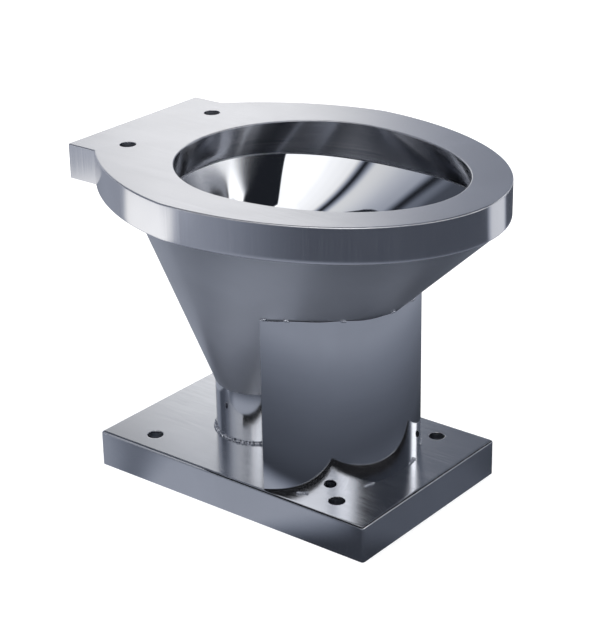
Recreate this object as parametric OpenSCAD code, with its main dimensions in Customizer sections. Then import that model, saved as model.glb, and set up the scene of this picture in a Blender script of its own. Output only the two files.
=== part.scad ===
// Raised stainless steel WC pan with a vertical outlet. A box rim with a seat deck carries an egg-shaped
// bowl, which tapers to a waste pipe. A curved apron stands in front of the pipe on a sheet-metal floor box.
// Millimetres, +Z up, the bowl's front faces -Y. The origin is the waste pipe's axis at floor level.

/* [Box rim] */
// Height of the rim's top face above the floor
rim_h = 373; // [340:1:430]
// Depth of the box rim, from its top face to its underside
rim_depth = 39; // [37:1:50]
// Overall width of the rim
rim_w = 379; // [366:1:398]
// Distance from the outlet axis forward to the rim's front tip
rim_front = 302; // [292:1:323]
// Distance from the outlet axis forward to the rim's widest line
rim_widest = 40; // [30:1:50]
// Radius of the rounded shoulders, just behind the widest line
shoulder_r = 60; // [30:5:90]
// Radius of the curved flanks, from the shoulders back to the deck
flank_r = 320; // [280:5:380]
// Sheet thickness of the rim's plates and walls
rim_sheet = 1.5; // [1:0.1:2]

/* [Seat deck] */
// Width of the deck that carries the seat hinges
deck_w = 212; // [197:1:222]
// Distance from the outlet axis back to the deck's rear face
deck_rear = 176; // [168:1:195]
// Distance from the outlet axis back to the seam between the rim's flanks and the deck's sides
deck_seam = 136; // [130:1:142]
// Outer radius of the deck's two rear corners
deck_corner_r = 3; // [2.5:0.5:10]
// Distance between the two seat hinge holes
seat_hole_spacing = 140; // [125:1:155]
// Diameter of the seat hinge holes
seat_hole_d = 18; // [12:0.5:20]
// Distance from the deck's rear face forward to the seat hinge holes
seat_hole_edge = 56; // [45:1:62]
// Wall of the sleeves that line the seat hinge holes
seat_sleeve_wall = 1.5; // [1:0.1:3]

/* [Flush inlet] */
// Bore of the socket for the flush pipe
socket_d = 28.2; // [20:0.1:28.5]
// Wall of the socket
socket_wall = 1.9; // [1:0.1:2]
// Length of the socket, from the deck's rear face inwards
socket_l = 25; // [15:1:40]
// Diameter of the flush ports in the rim's underside
port_d = 8; // [5:0.5:10]
// Number of flush ports
port_count = 21; // [9:2:25]
// Distance from the edge of the bowl's mouth out to the middle of each port
port_edge = 12; // [9:0.5:14]

/* [Opening] */
// Width of the seat plate on each side of the opening, at its widest line
seat_side = 53; // [47:1:59]
// Width of the seat plate in front of the opening
seat_front = 43; // [38:1:52]
// Distance from the outlet axis back to the opening's rear end
opening_rear = 70; // [58:1:80]
// Distance from the outlet axis forward to the opening's widest line
opening_widest = 67; // [50:1:85]
// Distance that the rim's inner wall leans in at each side
lean_side = 8; // [0:1:12]
// Distance that the rim's inner wall leans out at the front
lean_front = 5; // [0:1:7]
// Distance that the rim's inner wall leans out at the rear
lean_rear = 8; // [0:1:10]
// Distance from the outlet axis forward to the widest line of the inner wall's lower edge
mouth_widest = 112; // [75:1:125]

/* [Bowl] */
// Ledge of the rim's underside that is left outside the bowl
bowl_ledge = 2; // [1.5:0.5:5]
// Distance that the bowl's widest line lies in front of the rim's
bowl_forward = 5; // [2:1:7]
// Distance from the rim's inner wall back to the bowl's outside at the rear
bowl_rear_gap = 2.5; // [2.5:0.5:6]
// Wall of the bowl, measured level
bowl_wall = 2; // [1.2:0.1:2.5]
// Radius of the closing seam's weld bead
seam_r = 2; // [1.5:0.1:3]

/* [Waste pipe] */
// Outer diameter of the waste pipe
pipe_d = 102; // [90:1:110]
// Wall of the waste pipe
pipe_wall = 2; // [1.5:0.1:3]
// Height of pipe that shows between the floor box and the bowl
pipe_show = 61; // [45:1:80]
// Gap round the pipe where it passes through the floor box
pipe_gap = 0.5; // [0.2:0.1:1]

/* [Front apron] */
// Sheet thickness of the apron
apron_sheet = 2; // [1.5:0.1:3]
// Angle that the apron turns through
apron_sweep = 152; // [135:1:160]
// Distance from the floor box's front edge back to the apron
apron_setback = 41; // [36:1:55]
// Gap between the apron's upper edge and the bowl
apron_gap = 1.5; // [0.5:0.1:2.5]

/* [Floor box] */
// Width of the floor box
base_w = 246; // [242:1:260]
// Length of the floor box
base_l = 371; // [360:1:390]
// Distance from the outlet axis back to the floor box's rear face
base_rear = 136; // [132:1:142]
// Height of the floor box
base_h = 42; // [35:1:60]
// Sheet thickness of the floor box
base_sheet = 2; // [1.5:0.1:2.5]
// Outer radius of the floor box's bent edges
base_edge_r = 3; // [3:0.5:6]
// Distance from the floor box's sides in to the middle of the floor bolt holes
bolt_side = 30; // [20:1:34]
// Distance from the floor box's front and rear faces in to the middle of the floor bolt holes
bolt_end = 56.5; // [50:0.5:60]
// Diameter of the floor bolt holes
bolt_hole_d = 18; // [12:0.5:20]
// Wall of the spacer sleeves under the floor bolt holes
bolt_sleeve_wall = 1.5; // [1:0.1:3]
// Height of the two cross ribs under the floor box's top
rib_h = 28; // [15:1:33]
// Thickness of the cross ribs
rib_sheet = 2; // [1.5:0.1:3]
// Gap between each cross rib and the sleeves beside it
rib_gap = 7; // [4:0.5:8]

/* [Welds] */
// Leg of the fillet weld round the pipe's foot
pipe_weld = 4; // [2:0.5:6]
// Leg of the stitch welds along the apron's foot
stitch_weld = 2.5; // [1.5:0.5:4]
// Angle that each stitch weld covers
stitch_angle = 6; // [3:1:10]
// Radius of the tack welds along the apron's upper edge
tack_r = 3; // [2.6:0.1:4]

/* [Hidden] */

// Points round each full outline, along each shoulder and flank and round each bent corner
ring_points = 120;
shoulder_points = 2;
flank_points = 9;
corner_points = 6;
// Squareness of the lower edge of the inner wall: an ellipse has the share 2
mouth_front_share = 2.5;
mouth_rear_share = 2.4;
// Shares of the mouth's outline at which the row of flush ports begins, and that the row covers
port_start_share = 0.42;
port_row_share = 0.66;
// How far every cutting shape runs past what it cuts
overrun = 1;

opening_w = rim_w - 2 * seat_side;
opening_front = rim_front - seat_front;
plate_under = rim_h - rim_sheet;
rim_under = rim_h - rim_depth;
rim_floor = rim_under + rim_sheet;
socket_z = rim_under + rim_depth / 2;
seat_hole_y = deck_rear - seat_hole_edge;
socket_r = socket_d / 2 + socket_wall;
mouth_half_w = opening_w / 2 - lean_side;
mouth_front = opening_front + lean_front;
mouth_rear = opening_rear + lean_rear;
bowl_half_w = rim_w / 2 - bowl_ledge;
bowl_front = rim_front - bowl_ledge;
bowl_rear = mouth_rear + rim_sheet + bowl_rear_gap;
bowl_widest = rim_widest + bowl_forward;
pipe_r = pipe_d / 2;
pipe_top = base_h + pipe_show;
base_front = base_l - base_rear;
base_mid_y = base_rear - base_l / 2;
bolt_spacing_x = base_w - 2 * bolt_side;
bolt_spacing_y = base_l - 2 * bolt_end;
apron_r = base_w / 2;
apron_y = apron_setback + apron_r - base_front;
apron_start = 270 - apron_sweep / 2;
bolt_sleeve_r = bolt_hole_d / 2 + bolt_sleeve_wall;
rib_y = bolt_spacing_y / 2 - bolt_sleeve_r - rib_gap;
// Places of the welds, as shares of the apron's sweep from its left end
tack_shares = [0.015, 0.09, 0.27, 0.455, 0.577, 0.73, 0.91, 0.985];
stitch_shares = [0.13, 0.36, 0.58, 0.73, 0.87];
// How deep the seam bead's middle lies in the bowl's wall, as a share of the bead's radius
seam_sink_share = 0.5;
// Angle between the directions in which the bowl's outside is measured
facing_step = 2;

$fn = 96;

// A closed outline of two half ellipses, front and rear, that meet at the widest line. Shares over 2 make
// either half squarer.
function egg(half_w, front, rear, widest, front_share = 2, rear_share = 2) =
    [for (i = [0 : ring_points - 1])
        let (t = 360 * i / ring_points, c = cos(t), s = sin(t),
             power = 2 / (s < 0 ? front_share : rear_share),
             reach = s < 0 ? front - widest : rear + widest)
        [half_w * sign(c) * pow(abs(c), power), reach * sign(s) * pow(abs(s), power) - widest]];

// The outward direction of one side of a counter-clockwise outline
function outward(from, to) =
    let (d = to - from)
    [d.y, -d.x] / norm(d);

// A counter-clockwise outline moved outwards by a distance, or inwards by a negative one
function moved(path, distance) =
    let (n = len(path))
    [for (i = [0 : n - 1])
        let (a = outward(path[(i + n - 1) % n], path[i]), b = outward(path[i], path[(i + 1) % n]))
        path[i] + distance * (a + b) / (1 + a * b)];

function arc(middle, radius, from, to, steps) =
    [for (i = [0 : steps])
        let (t = from + (to - from) * i / steps)
        middle + radius * [cos(t), sin(t)]];

function reversed(path) = [for (i = [len(path) - 1 : -1 : 0]) path[i]];

function mirrored(path) = [for (point = path) [-point.x, point.y]];

// The rim's outline. The deck's part runs from its right seam round the rear to its left seam, and the
// skirt's part goes on from there round the front. Each flank is an arc from the seam to the shoulder, which
// it touches smoothly at the shoulder's turn.
shoulder_mid = [rim_w / 2 - shoulder_r, -rim_widest];
seam_point = [deck_w / 2, deck_seam];
seam_dir = seam_point - shoulder_mid;
flank_shift = flank_r - shoulder_r;
seam_reach = norm(seam_dir);
flank_share = (pow(flank_r, 2) - pow(flank_shift, 2) - pow(seam_reach, 2)) / (2 * flank_shift * seam_reach);
shoulder_turn = atan2(seam_dir.y, seam_dir.x) - acos(flank_share);
flank_mid = shoulder_mid - flank_shift * [cos(shoulder_turn), sin(shoulder_turn)];
flank_end = atan2(deck_seam - flank_mid.y, deck_w / 2 - flank_mid.x);
deck_corner_mid = [deck_w / 2 - deck_corner_r, deck_rear - deck_corner_r];
deck_corner = arc(deck_corner_mid, deck_corner_r, 0, 90, corner_points);
deck_side = concat([seam_point], deck_corner);
deck_path = concat(deck_side, reversed(mirrored(deck_side)));
flank = arc(flank_mid, flank_r, flank_end, shoulder_turn, flank_points);
shoulder = arc(shoulder_mid, shoulder_r, shoulder_turn, 0, shoulder_points);
side_curve = concat(flank, [for (i = [1 : shoulder_points]) shoulder[i]]);
front_steps = ring_points / 2;
front_curve = [for (i = [1 : front_steps - 1])
    let (t = 180 + 180 * i / front_steps)
    [rim_w / 2 * cos(t), (rim_front - rim_widest) * sin(t) - rim_widest]];
skirt_path = concat(mirrored(side_curve), front_curve, reversed(side_curve));
rim_path = concat(deck_path, skirt_path);
rim_inside = moved(rim_path, -rim_sheet);
deck_count = len(deck_path);
rim_count = len(rim_path);

opening = egg(opening_w / 2, opening_front, opening_rear, opening_widest);
mouth = egg(mouth_half_w, mouth_front, mouth_rear, mouth_widest, mouth_front_share, mouth_rear_share);
bowl_lip = egg(bowl_half_w, bowl_front, bowl_rear, bowl_widest);

// How far the bowl's upper outline reaches from the outlet axis in a direction
function bowl_reach(t) =
    let (reach = sin(t) < 0 ? bowl_front - bowl_widest : bowl_rear + bowl_widest)
    norm([bowl_half_w * cos(t), reach * sin(t)]) - bowl_widest * sin(t);

// The plane that touches the bowl's outside in a direction: its slope, and its height over a point of the plan
function bowl_slope(t) = (rim_under - pipe_top) / (bowl_reach(t) - pipe_r);
function bowl_plane(t, point) = pipe_top + bowl_slope(t) * (point * [cos(t), sin(t)] - pipe_r);

// The direction in which the bowl's outside faces over a point of the plan
function bowl_facing(point) =
    let (turns = [0 : facing_step : 360 - facing_step],
         top = max([for (t = turns) bowl_plane(t, point)]))
    [for (t = turns) if (bowl_plane(t, point) == top) t][0];

// A straight-sided transition from one outline up to another
module transition(low, high, low_z, high_z) {
    intersection() {
        hull() {
            translate([0, 0, low_z - overrun]) linear_extrude(overrun) polygon(low);
            translate([0, 0, high_z]) linear_extrude(overrun) polygon(high);
        }
        translate([-rim_w, -rim_w, low_z]) cube([2 * rim_w, 2 * rim_w, high_z - low_z]);
    }
}

module rod(radius, low_z, high_z) {
    translate([0, 0, low_z]) cylinder(r = radius, h = high_z - low_z);
}

module tube(outer_r, inner_r, low_z, high_z) {
    difference() {
        rod(outer_r, low_z, high_z);
        rod(inner_r, low_z - overrun, high_z + overrun);
    }
}

// A standing strip between an outline and its inner side
module band(outer, inner) {
    translate([0, 0, rim_under])
        linear_extrude(rim_depth - rim_sheet)
            polygon(concat(outer, reversed(inner)));
}

module at_seat_holes() {
    for (side = [-1, 1])
        translate([side * seat_hole_spacing / 2, seat_hole_y, 0]) children();
}

module at_floor_bolts() {
    for (x = [-1, 1], y = [-1, 1])
        translate([x * bolt_spacing_x / 2, base_mid_y + y * bolt_spacing_y / 2, 0]) children();
}

// A plate with a cut-out, with its underside at a height
module plate(outline, cut_out, low_z) {
    difference() {
        translate([0, 0, low_z]) linear_extrude(rim_sheet) polygon(outline);
        translate([0, 0, low_z - overrun]) linear_extrude(rim_sheet + 2 * overrun) polygon(cut_out);
    }
}

module seat_plate() {
    color("gainsboro") difference() {
        plate(rim_path, opening, plate_under);
        at_seat_holes() rod(seat_hole_d / 2, plate_under - overrun, rim_h + overrun);
    }
}

module rim_skirt() {
    color("silver") band(
        concat([rim_path[deck_count - 1]], skirt_path, [rim_path[0]]),
        concat([rim_inside[deck_count - 1]], [for (i = [deck_count : rim_count - 1]) rim_inside[i]],
               [rim_inside[0]]));
}

module deck_wall() {
    color("silver") difference() {
        band(deck_path, [for (i = [0 : deck_count - 1]) rim_inside[i]]);
        translate([0, deck_rear, socket_z]) rotate([90, 0, 0]) rod(socket_r, -overrun, rim_sheet + overrun);
    }
}

// The leaning wall between the opening and the bowl's mouth
module rim_inner_wall() {
    color("darkgray") difference() {
        transition(moved(mouth, rim_sheet), moved(opening, rim_sheet), rim_floor, plate_under);
        hull() {
            translate([0, 0, rim_floor - overrun]) linear_extrude(overrun) polygon(mouth);
            translate([0, 0, plate_under]) linear_extrude(overrun) polygon(opening);
        }
    }
}

// The rim's underside, with the bowl's mouth and the row of flush ports round its sides and front
module rim_floor_plate() {
    port_line = moved(mouth, port_edge);
    color("darkgray") difference() {
        plate(rim_inside, mouth, rim_under);
        at_seat_holes() rod(seat_hole_d / 2, rim_under - overrun, rim_floor + overrun);
        for (i = [0 : port_count - 1]) {
            share = port_start_share + port_row_share * i / (port_count - 1);
            place = port_line[round(ring_points * share) % ring_points];
            translate([place.x, place.y, 0]) rod(port_d / 2, rim_under - overrun, rim_floor + overrun);
        }
    }
}

module flush_socket() {
    color("silver") translate([0, deck_rear, socket_z]) rotate([90, 0, 0])
        tube(socket_r, socket_d / 2, 0, socket_l);
}

module seat_bolt_sleeves() {
    color("silver") at_seat_holes()
        tube(seat_hole_d / 2 + seat_sleeve_wall, seat_hole_d / 2, rim_floor, plate_under);
}

module bowl_outside() {
    transition(egg(pipe_r, pipe_r, pipe_r, 0), bowl_lip, pipe_top, rim_under);
}

module bowl() {
    throat_r = pipe_r - bowl_wall;
    color("lightslategray") difference() {
        bowl_outside();
        hull() {
            translate([0, 0, pipe_top - overrun]) linear_extrude(overrun)
                polygon(egg(throat_r, throat_r, throat_r, 0));
            translate([0, 0, rim_under]) linear_extrude(overrun) polygon(moved(bowl_lip, -bowl_wall));
        }
    }
}

// The bead that closes the rolled bowl, down the middle of its rear
module bowl_seam_weld() {
    sink = seam_r * seam_sink_share;
    color("gray") difference() {
        hull() {
            translate([0, pipe_r - sink, pipe_top + seam_r]) sphere(seam_r, $fn = 24);
            translate([0, bowl_rear - sink - seam_r / 2, rim_under - seam_r]) sphere(seam_r, $fn = 24);
        }
        bowl_outside();
    }
}

module waste_pipe() {
    color("silver") tube(pipe_r, pipe_r - pipe_wall, 0, pipe_top);
}

module pipe_foot_weld() {
    color("gray") rotate_extrude()
        polygon([[pipe_r, base_h], [pipe_r + pipe_weld, base_h], [pipe_r, base_h + pipe_weld]]);
}

module front_apron() {
    apron_h = rim_under - 2 * apron_gap - base_h;
    color("slategray") difference() {
        translate([0, apron_y, base_h]) rotate([0, 0, apron_start])
            rotate_extrude(angle = apron_sweep)
                translate([apron_r - apron_sheet, 0]) square([apron_sheet, apron_h]);
        translate([0, 0, -apron_gap]) bowl_outside();
    }
}

// Tack welds in the corner between the apron and the bowl, each cut flat where it meets either of them
module apron_tack_welds() {
    tack_reach = tack_r + overrun;
    color("gray") for (share = tack_shares) {
        turn = apron_start + apron_sweep * share;
        point = [0, apron_y] + apron_r * [cos(turn), sin(turn)];
        facing = bowl_facing(point);
        height = bowl_plane(facing, point);
        translate([point.x, point.y, height]) difference() {
            translate([0, 0, -apron_gap / 2]) sphere(tack_r);
            rotate([0, 0, turn]) translate([-2 * tack_reach, -tack_reach, -tack_reach]) cube(2 * tack_reach);
            rotate([0, -atan(bowl_slope(facing)), facing])
                translate([-tack_reach, -tack_reach, 0]) cube(2 * tack_reach);
        }
    }
}

module apron_stitch_welds() {
    color("gray") translate([0, apron_y, base_h]) for (share = stitch_shares)
        rotate([0, 0, apron_start + apron_sweep * share - stitch_angle / 2])
            rotate_extrude(angle = stitch_angle)
                polygon([[apron_r, 0], [apron_r + stitch_weld, 0], [apron_r, stitch_weld]]);
}

// A box with rounded upright edges and rounded top edges
module rounded_box(width, length, height, radius, low_z) {
    hull() for (x = [-1, 1], y = [-1, 1])
        translate([x * (width / 2 - radius), base_mid_y + y * (length / 2 - radius), 0]) {
            rod(radius, low_z, height - radius, $fn = 32);
            translate([0, 0, height - radius]) sphere(radius, $fn = 32);
        }
}

module floor_box() {
    color("lightgray") difference() {
        rounded_box(base_w, base_l, base_h, base_edge_r, 0);
        rounded_box(base_w - 2 * base_sheet, base_l - 2 * base_sheet, base_h - base_sheet,
                    base_edge_r - base_sheet, -overrun);
        rod(pipe_r + pipe_gap, base_h - base_sheet - overrun, base_h + overrun);
        at_floor_bolts() rod(bolt_hole_d / 2, base_h - base_sheet - overrun, base_h + overrun);
    }
}

// A flat bar on edge, welded across under the floor box's top
module cross_rib(side) {
    rib_l = base_w - 2 * base_edge_r - 2 * base_sheet;
    color("lightgray")
        translate([-rib_l / 2, base_mid_y + side * rib_y - rib_sheet / 2, base_h - base_sheet - rib_h])
            cube([rib_l, rib_sheet, rib_h]);
}

module front_cross_rib() {
    cross_rib(-1);
}

module rear_cross_rib() {
    cross_rib(1);
}

module floor_bolt_sleeves() {
    color("silver") at_floor_bolts() tube(bolt_sleeve_r, bolt_hole_d / 2, 0, base_h - base_sheet);
}

seat_plate();
rim_skirt();
deck_wall();
rim_inner_wall();
rim_floor_plate();
flush_socket();
seat_bolt_sleeves();
bowl();
bowl_seam_weld();
waste_pipe();
pipe_foot_weld();
front_apron();
apron_tack_welds();
apron_stitch_welds();
floor_box();
front_cross_rib();
rear_cross_rib();
floor_bolt_sleeves();
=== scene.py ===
import math

import bmesh
import bpy
import numpy as np
from mathutils import Matrix, Vector


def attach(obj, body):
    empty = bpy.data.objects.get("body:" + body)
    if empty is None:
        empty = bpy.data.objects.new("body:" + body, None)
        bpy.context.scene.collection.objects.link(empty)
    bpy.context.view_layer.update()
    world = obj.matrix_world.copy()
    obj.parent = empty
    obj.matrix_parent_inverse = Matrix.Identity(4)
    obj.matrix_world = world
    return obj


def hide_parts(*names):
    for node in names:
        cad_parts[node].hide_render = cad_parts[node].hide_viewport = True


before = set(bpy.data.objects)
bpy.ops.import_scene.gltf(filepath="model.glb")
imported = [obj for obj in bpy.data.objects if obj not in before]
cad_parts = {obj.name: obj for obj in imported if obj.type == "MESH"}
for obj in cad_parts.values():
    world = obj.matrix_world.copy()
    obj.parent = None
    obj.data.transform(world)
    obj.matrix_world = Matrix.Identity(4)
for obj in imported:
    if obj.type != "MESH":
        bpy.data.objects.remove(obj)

bl_info = {
    "name": "Raised steel WC pan",
    "version": (1, 0, 0),
    "blender": (4, 5, 0),
    "location": "View3D > Sidebar > Steel pan",
    "description": "Builds the visible skin of a raised steel WC pan over its construction model",
    "category": "Add Mesh",
}

# Small edge radii and clearances, in metres
OPENING_EDGE = 0.0010
HOLE_EDGE = 0.0004
SKIRT_FOOT_EDGE = 0.0010
PUNCHED_EDGE = 0.0005
PIPE_CLEARANCE = 0.0005
EDGE_SUPPORT = 0.0006
LEAST_CORNER = 0.0002
BOX_EDGE_SUPPORT = 0.0008

# How far the middles of the weld beads stand out from the sheets, in metres
FOOT_BEAD_OUT = 0.0012
FOOT_BEAD_UP = 0.0008
TACK_OUT = 0.0006
TACK_DOWN = 0.0012
STITCH_UP = 0.0006

# Waves in the gap over the apron's hand-cut edge: height in metres, rate along the sweep, and phase
GAP_WAVES = ((0.0006, 17, 0.6), (0.0004, 41, 0))

# Places of the short beads along the apron, as shares of its sweep
TACK_PLACES = (0.015, 0.09, 0.27, 0.455, 0.577, 0.73, 0.91, 0.985)
STITCH_PLACES = (0.13, 0.36, 0.58, 0.73, 0.87)

# Counts of points round the outlines, and of lumps in the long welds and in each half of a short one
EGG_POINTS = 720
PIPE_POINTS = 192
FOOT_LUMPS = 170
SEAM_LUMPS = 190
TACK_HALF_LUMPS = 2
STITCH_HALF_LUMPS = 4

# Steps from lump to lump along the apron, as shares of its sweep
TACK_STEP = 0.0030
STITCH_STEP = 0.0040

# In metres, how near two points are one, and how short an edge is dropped. Sharper bends stay edges.
SAME_POINT = 1e-7
MERGE_DISTANCE = 1e-6
LEAST_EDGE = 1e-8
SHARP_DEGREES = 32


# Colours and nodes

def linear(hex_colour):
    """An sRGB hex colour as linear red, green and blue."""
    parts = [int(hex_colour[i:i + 2], 16) / 255 for i in (1, 3, 5)]
    return [p / 12.92 if p <= 0.04045 else ((p + 0.055) / 1.055) ** 2.4 for p in parts]


def add_node(tree, kind, settings=None, inputs=None):
    """Adds a node. Settings are its properties; inputs are values, or output sockets to link from."""
    node = tree.nodes.new(kind)
    for key, value in (settings or {}).items():
        setattr(node, key, value)
    for key, value in (inputs or {}).items():
        socket = node.inputs[key]
        if isinstance(value, bpy.types.NodeSocket):
            tree.links.new(value, socket)
        else:
            socket.default_value = value
    return node


def maths(tree, operation, *values):
    """The result of a Math node on values or output sockets."""
    return add_node(tree, "ShaderNodeMath", {"operation": operation}, dict(enumerate(values))).outputs[0]


def bare_material(name):
    """A new material and its node tree, still empty."""
    material = bpy.data.materials.new(name)
    material.use_nodes = True
    material.node_tree.nodes.clear()
    return material, material.node_tree


# Sizes and colours

def length(name, description, default):
    """A property that holds a length in metres."""
    return bpy.props.FloatProperty(name=name, description=description, default=default, unit="LENGTH")


def colour_property(name, description, colour):
    """A property that holds a colour, given as sRGB hex."""
    return bpy.props.FloatVectorProperty(
        name=name, description=description, size=3, subtype="COLOR", min=0, max=1, default=linear(colour))


class PanSizes(bpy.types.PropertyGroup):
    """Lengths of the pan. They repeat the construction model's values."""
    rim_height: length("Rim height", "Height of the rim's top face", 0.373)
    rim_depth: length("Rim depth", "Depth of the box rim", 0.039)
    rim_half_width: length("Rim half width", "Half of the rim's width", 0.1895)
    rim_front: length("Rim front", "Outlet axis to the rim's front tip", 0.302)
    rim_widest: length("Rim widest line", "Outlet axis to the rim's widest line", 0.040)
    shoulder_radius: length("Shoulder radius", "Radius just behind the widest line", 0.060)
    flank_radius: length("Flank radius", "Radius from the shoulders back to the deck", 0.320)
    deck_half_width: length("Deck half width", "Half of the seat deck's width", 0.106)
    deck_rear: length("Deck rear", "Outlet axis to the deck's rear face", 0.176)
    deck_seam: length("Deck seam", "Outlet axis to the deck's side seams", 0.136)
    deck_corner: length("Deck corner", "Radius of the deck's rear corners", 0.003)
    rim_sheet: length("Rim sheet", "Sheet thickness of the rim", 0.0015)
    hinge_half_spacing: length("Hinge hole offset", "Half of the hinge holes' spacing", 0.070)
    hinge_back: length("Hinge hole place", "Outlet axis to the hinge holes", 0.120)
    hole_radius: length("Hole radius", "Radius of the hinge and floor bolt holes", 0.009)
    opening_half_width: length("Opening half width", "Half of the opening's width", 0.1365)
    opening_front: length("Opening front", "Outlet axis to the opening's front end", 0.259)
    opening_rear: length("Opening rear", "Outlet axis to the opening's rear end", 0.070)
    opening_widest: length("Opening widest line", "Outlet axis to the opening's widest line", 0.067)
    lean_side: length("Lean at the sides", "How far the inner wall leans in", 0.008)
    lean_front: length("Lean in front", "How far the inner wall leans out", 0.005)
    lean_rear: length("Lean at the rear", "How far the inner wall leans out", 0.008)
    mouth_widest: length("Mouth widest line", "Outlet axis to the mouth's widest line", 0.112)
    bowl_ledge: length("Bowl ledge", "Rim's underside left outside the bowl", 0.002)
    bowl_rear: length("Bowl rear", "Outlet axis to the bowl's rear end", 0.082)
    bowl_widest: length("Bowl widest line", "Outlet axis to the bowl's widest line", 0.045)
    edge_radius: length("Ground edge", "Radius of the rim's ground upper edge", 0.0013)
    bowl_wall: length("Bowl wall", "Wall of the bowl", 0.002)
    pipe_radius: length("Pipe radius", "Outer radius of the waste pipe", 0.051)
    pipe_wall: length("Pipe wall", "Wall of the waste pipe", 0.002)
    pipe_top: length("Pipe top", "Height at which the pipe meets the bowl", 0.103)
    apron_radius: length("Apron radius", "Outer radius of the apron", 0.123)
    apron_forward: length("Apron place", "Outlet axis forward to the apron's axis", 0.071)
    apron_sheet: length("Apron sheet", "Sheet thickness of the apron", 0.002)
    apron_sweep: bpy.props.FloatProperty(
        name="Apron sweep", description="Angle that the apron turns through", default=math.radians(152),
        subtype="ANGLE", unit="ROTATION")
    apron_gap: length("Apron gap", "Mean gap between the apron and the bowl", 0.0014)
    box_width: length("Box width", "Width of the floor box", 0.246)
    box_length: length("Box length", "Length of the floor box", 0.371)
    box_front: length("Box front", "Outlet axis to the floor box's front", 0.235)
    box_height: length("Box height", "Height of the floor box", 0.042)
    box_sheet: length("Box sheet", "Sheet thickness of the floor box", 0.002)
    box_edge: length("Box edge", "Radius of the floor box's bends", 0.003)
    bolt_half_x: length("Bolt offset across", "Half of the bolt holes' spacing across", 0.093)
    bolt_half_y: length("Bolt offset along", "Half of the bolt holes' spacing along", 0.129)


class PanColours(bpy.types.PropertyGroup):
    """Colours of the steel finishes."""
    brushed: colour_property("Brushed steel", "Satin brushed sheet", "#d2d3d8")
    smooth: colour_property("Smooth steel", "Cold-rolled and polished sheet", "#cdcfd4")
    # Darker than the plate's brushed sheet: painted shade of the rim on the inner wall
    wall: colour_property("Inner wall steel", "Brushed sheet in the shade of the rim", "#a4a6ac")
    # Far darker than steel: painted shade inside the pipe; the sheet there is also rough
    bore: colour_property("Bore steel", "Unpolished inside of the pipe", "#4a4d54")
    weld: colour_property("Weld steel", "Bare weld bead", "#b9bcc4")
    backdrop: colour_property("Backdrop", "Floor and backdrop", "#fafafa")


# Outlines, in metres

def arc(centre, radius, start, end, count):
    """Points on an arc between two angles in degrees."""
    turn = np.radians(np.linspace(start, end, count))
    return np.stack([centre[0] + radius * np.cos(turn), centre[1] + radius * np.sin(turn)], 1)


def line(start, end, count):
    """Evenly spaced points from start to end."""
    share = np.linspace(0, 1, count)[:, None]
    return np.asarray(start) * (1 - share) + np.asarray(end) * share


def without_repeats(path, closed=True):
    """The path without points that fall on the one before."""
    keep = [0]
    for i in range(1, len(path)):
        if np.linalg.norm(path[i] - path[keep[-1]]) > SAME_POINT:
            keep.append(i)
    if closed and np.linalg.norm(path[keep[-1]] - path[0]) < SAME_POINT:
        keep.pop()
    return path[keep]


def moved(path, distance, closed=True):
    """A counter-clockwise path moved outwards, or inwards by a negative distance."""
    ahead = np.roll(path, -1, 0) - path
    if not closed:
        ahead[-1] = ahead[-2]
    ahead /= np.linalg.norm(ahead, axis=1)[:, None]
    side = np.stack([ahead[:, 1], -ahead[:, 0]], 1)
    before = np.roll(side, 1, 0)
    if not closed:
        before[0] = side[0]
    return path + distance * (side + before) / (1 + (side * before).sum(1))[:, None]


def egg(half_width, front, rear, widest, front_share=2.0, rear_share=2.0):
    """Points of an egg-shaped outline at equal steps of the direction that its edge faces."""
    facing = np.radians(np.arange(EGG_POINTS) * 360 / EGG_POINTS)
    c, s = np.cos(facing), np.sin(facing)
    points = np.zeros((EGG_POINTS, 2))
    for half, reach, share in ((s < 0, front - widest, front_share), (s >= 0, rear + widest, rear_share)):
        power = share / (share - 1)
        u, v = np.abs(half_width * c[half]), np.abs(reach * s[half])
        support = (u ** power + v ** power) ** (1 / power)
        points[half, 0] = half_width * np.sign(c[half]) * (u / support) ** (power - 1)
        points[half, 1] = reach * np.sign(s[half]) * (v / support) ** (power - 1) - widest
    return points


def rim_paths(z):
    """The skirt's path from the left seam round the front to the right one, and the deck's round the rear."""
    centre = np.array([z.rim_half_width - z.shoulder_radius, -z.rim_widest])
    seam = np.array([z.deck_half_width, z.deck_seam])
    away = seam - centre
    reach, shift = np.linalg.norm(away), z.flank_radius - z.shoulder_radius
    share = (z.flank_radius ** 2 - shift ** 2 - reach ** 2) / (2 * shift * reach)
    turn = math.degrees(math.atan2(away[1], away[0]) - math.acos(share))
    middle = centre - shift * np.array([math.cos(math.radians(turn)), math.sin(math.radians(turn))])
    end = math.degrees(math.atan2(seam[1] - middle[1], seam[0] - middle[0]))
    right = np.concatenate([arc(middle, z.flank_radius, end, turn, 90),
                            arc(centre, z.shoulder_radius, turn, 0, 12)[1:]])
    t = np.radians(np.linspace(180, 360, 361)[1:-1])
    reach = z.rim_front - z.rim_widest
    front = np.stack([z.rim_half_width * np.cos(t), reach * np.sin(t) - z.rim_widest], 1)
    left = right * [-1, 1]
    skirt = np.concatenate([left, front, right[::-1]])
    corner = arc((z.deck_half_width - z.deck_corner, z.deck_rear - z.deck_corner), z.deck_corner, 0, 90, 9)
    deck = np.concatenate([line(seam, corner[0], 6), corner[1:]])
    deck = np.concatenate([deck, (deck * [-1, 1])[::-1]])
    return skirt, without_repeats(deck, False)


def opening_path(z):
    """The opening in the seat plate."""
    return egg(z.opening_half_width, z.opening_front, z.opening_rear, z.opening_widest)


def mouth_path(z):
    """The lower edge of the inner wall, a little squarer than an ellipse."""
    return egg(z.opening_half_width - z.lean_side, z.opening_front + z.lean_front,
               z.opening_rear + z.lean_rear, z.mouth_widest, front_share=2.5, rear_share=2.4)


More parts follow.
